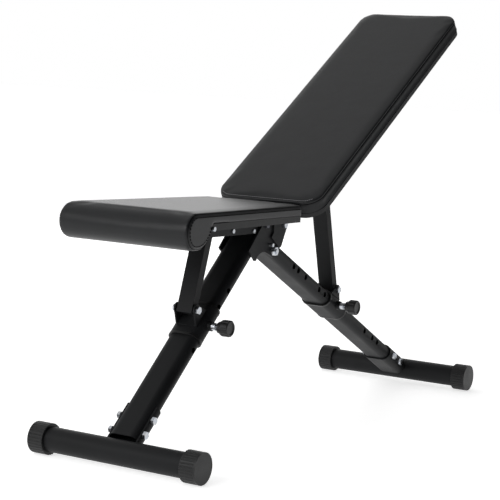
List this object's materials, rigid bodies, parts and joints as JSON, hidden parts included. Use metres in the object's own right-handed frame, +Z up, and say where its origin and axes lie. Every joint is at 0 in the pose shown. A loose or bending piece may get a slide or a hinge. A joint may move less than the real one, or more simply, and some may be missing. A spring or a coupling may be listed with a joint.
{
  "type": "adjustable weight bench",
  "caption": "Incline weight bench with a hinged seat rolled at the front, a hinged backrest and pull-pin collars that slide on two splayed legs.",
  "frame": {"origin": "floor level, at the middle of the footprint's length and on the middle plane", "axes": "+X from the seat end to the head end, +Y away from the pull knobs, to the right of someone sitting with their knees over the roll, +Z up"},
  "size_m": [1.2626, 0.406, 0.9196],
  "materials": {
    "frame_paint": "matte black powder coat with a fine texture",
    "pad_leather": "smooth synthetic leather, low sheen",
    "board": "plywood behind black fabric",
    "cap_plastic": "ribbed moulded plastic",
    "knob_plastic": "fluted moulded plastic",
    "liner_plastic": "smooth sliding bush plastic",
    "zinc_hardware": "bright zinc plate",
    "dark_hardware": "black oxide"
  },
  "bodies": {
    "frame": {"back_hinge_bolt": "zinc_hardware", "back_hinge_nut": "zinc_hardware", "cheek_far": "frame_paint", "cheek_near": "frame_paint", "front_cap_far": "cap_plastic", "front_cap_near": "cap_plastic", "front_foot_bolts": "zinc_hardware", "front_foot_bracket": "frame_paint", "front_foot_nuts": "zinc_hardware", "front_foot_tube": "frame_paint", "front_leg": "frame_paint", "hinge_ear_far": "frame_paint", "hinge_ear_near": "frame_paint", "rear_cap_far": "cap_plastic", "rear_cap_near": "cap_plastic", "rear_foot_bolts": "zinc_hardware", "rear_foot_bracket": "frame_paint", "rear_foot_nuts": "zinc_hardware", "rear_foot_tube": "frame_paint", "rear_leg": "frame_paint", "rear_leg_lock_bolt": "zinc_hardware", "rear_leg_pivot_bolt": "zinc_hardware", "rear_leg_pivot_nut": "zinc_hardware", "seat_hinge_bolt": "dark_hardware", "seat_hinge_nut": "zinc_hardware"},
    "seat": {"seat_board": "board", "seat_board_screws": "dark_hardware", "seat_channel": "frame_paint", "seat_channel_screws": "zinc_hardware", "seat_hinge_washers": "zinc_hardware", "seat_pad": "pad_leather", "seat_roll_bolts": "zinc_hardware"},
    "backrest": {"back_board": "board", "back_board_screws": "dark_hardware", "back_channel": "frame_paint", "back_hinge_washers": "zinc_hardware", "back_pad": "pad_leather"},
    "front_collar": {"front_clevis": "frame_paint", "front_clevis_bolt": "zinc_hardware", "front_clevis_nut": "zinc_hardware", "front_collar": "frame_paint", "front_collar_liners": "liner_plastic", "front_pin_boss": "frame_paint", "front_plunger_housing": "zinc_hardware"},
    "front_strut": {"front_strut": "frame_paint", "front_strut_pin": "zinc_hardware"},
    "front_knob": {"front_pull_knob": "knob_plastic", "front_pull_pin": "zinc_hardware"},
    "rear_collar": {"rear_clevis": "frame_paint", "rear_clevis_bolt": "zinc_hardware", "rear_clevis_nut": "zinc_hardware", "rear_collar": "frame_paint", "rear_collar_liners": "liner_plastic", "rear_pin_boss": "frame_paint", "rear_plunger_housing": "zinc_hardware"},
    "rear_strut": {"rear_strut": "frame_paint", "rear_strut_pin": "zinc_hardware"},
    "rear_knob": {"rear_pull_knob": "knob_plastic", "rear_pull_pin": "zinc_hardware"}
  },
  "joints": [
    {"name": "seat_tilt", "type": "hinge", "parent": "frame", "child": "seat", "pos_m": [-0.142, 0, 0.442], "axis": [0, 1, 0], "range_deg": [0, 21]},
    {"name": "front_collar_slide", "type": "slide", "parent": "frame", "child": "front_collar", "axis": [0.7541, 0, 0.6567], "range_m": [0, 0.09]},
    {"name": "front_strut_hinge", "type": "hinge", "parent": "front_collar", "child": "front_strut", "pos_m": [-0.3781, 0, 0.28325], "axis": [0, -1, 0], "range_deg": [0, 17]},
    {"name": "back_recline", "type": "hinge", "parent": "frame", "child": "backrest", "pos_m": [-0.072, 0, 0.438], "axis": [0, -1, 0], "range_deg": [-32.2, 40]},
    {"name": "rear_collar_slide", "type": "slide", "parent": "frame", "child": "rear_collar", "axis": [-0.89, 0, 0.456], "range_m": [-0.205, 0.255]},
    {"name": "rear_strut_hinge", "type": "hinge", "parent": "rear_collar", "child": "rear_strut", "pos_m": [0.22017, 0, 0.26776], "axis": [0, -1, 0], "range_deg": [-21, 17]},
    {"name": "front_knob_pull", "type": "slide", "parent": "front_collar", "child": "front_knob", "axis": [0, -1, 0], "range_m": [0, 0.009], "stiffness_N_per_m": 900, "springref_m": -0.004},
    {"name": "rear_knob_pull", "type": "slide", "parent": "rear_collar", "child": "rear_knob", "axis": [0, -1, 0], "range_m": [0, 0.009], "stiffness_N_per_m": 900, "springref_m": -0.004}
  ],
  "couplings": [
    {"joint": "front_collar_slide", "follows": "seat_tilt", "m_per_rad": 0.2311},
    {"joint": "front_strut_hinge", "follows": "seat_tilt", "ratio": 0.7264},
    {"joint": "rear_collar_slide", "follows": "back_recline", "m_per_rad": 0.3556},
    {"joint": "rear_strut_hinge", "follows": "back_recline", "ratio": -0.4885}
  ]
}
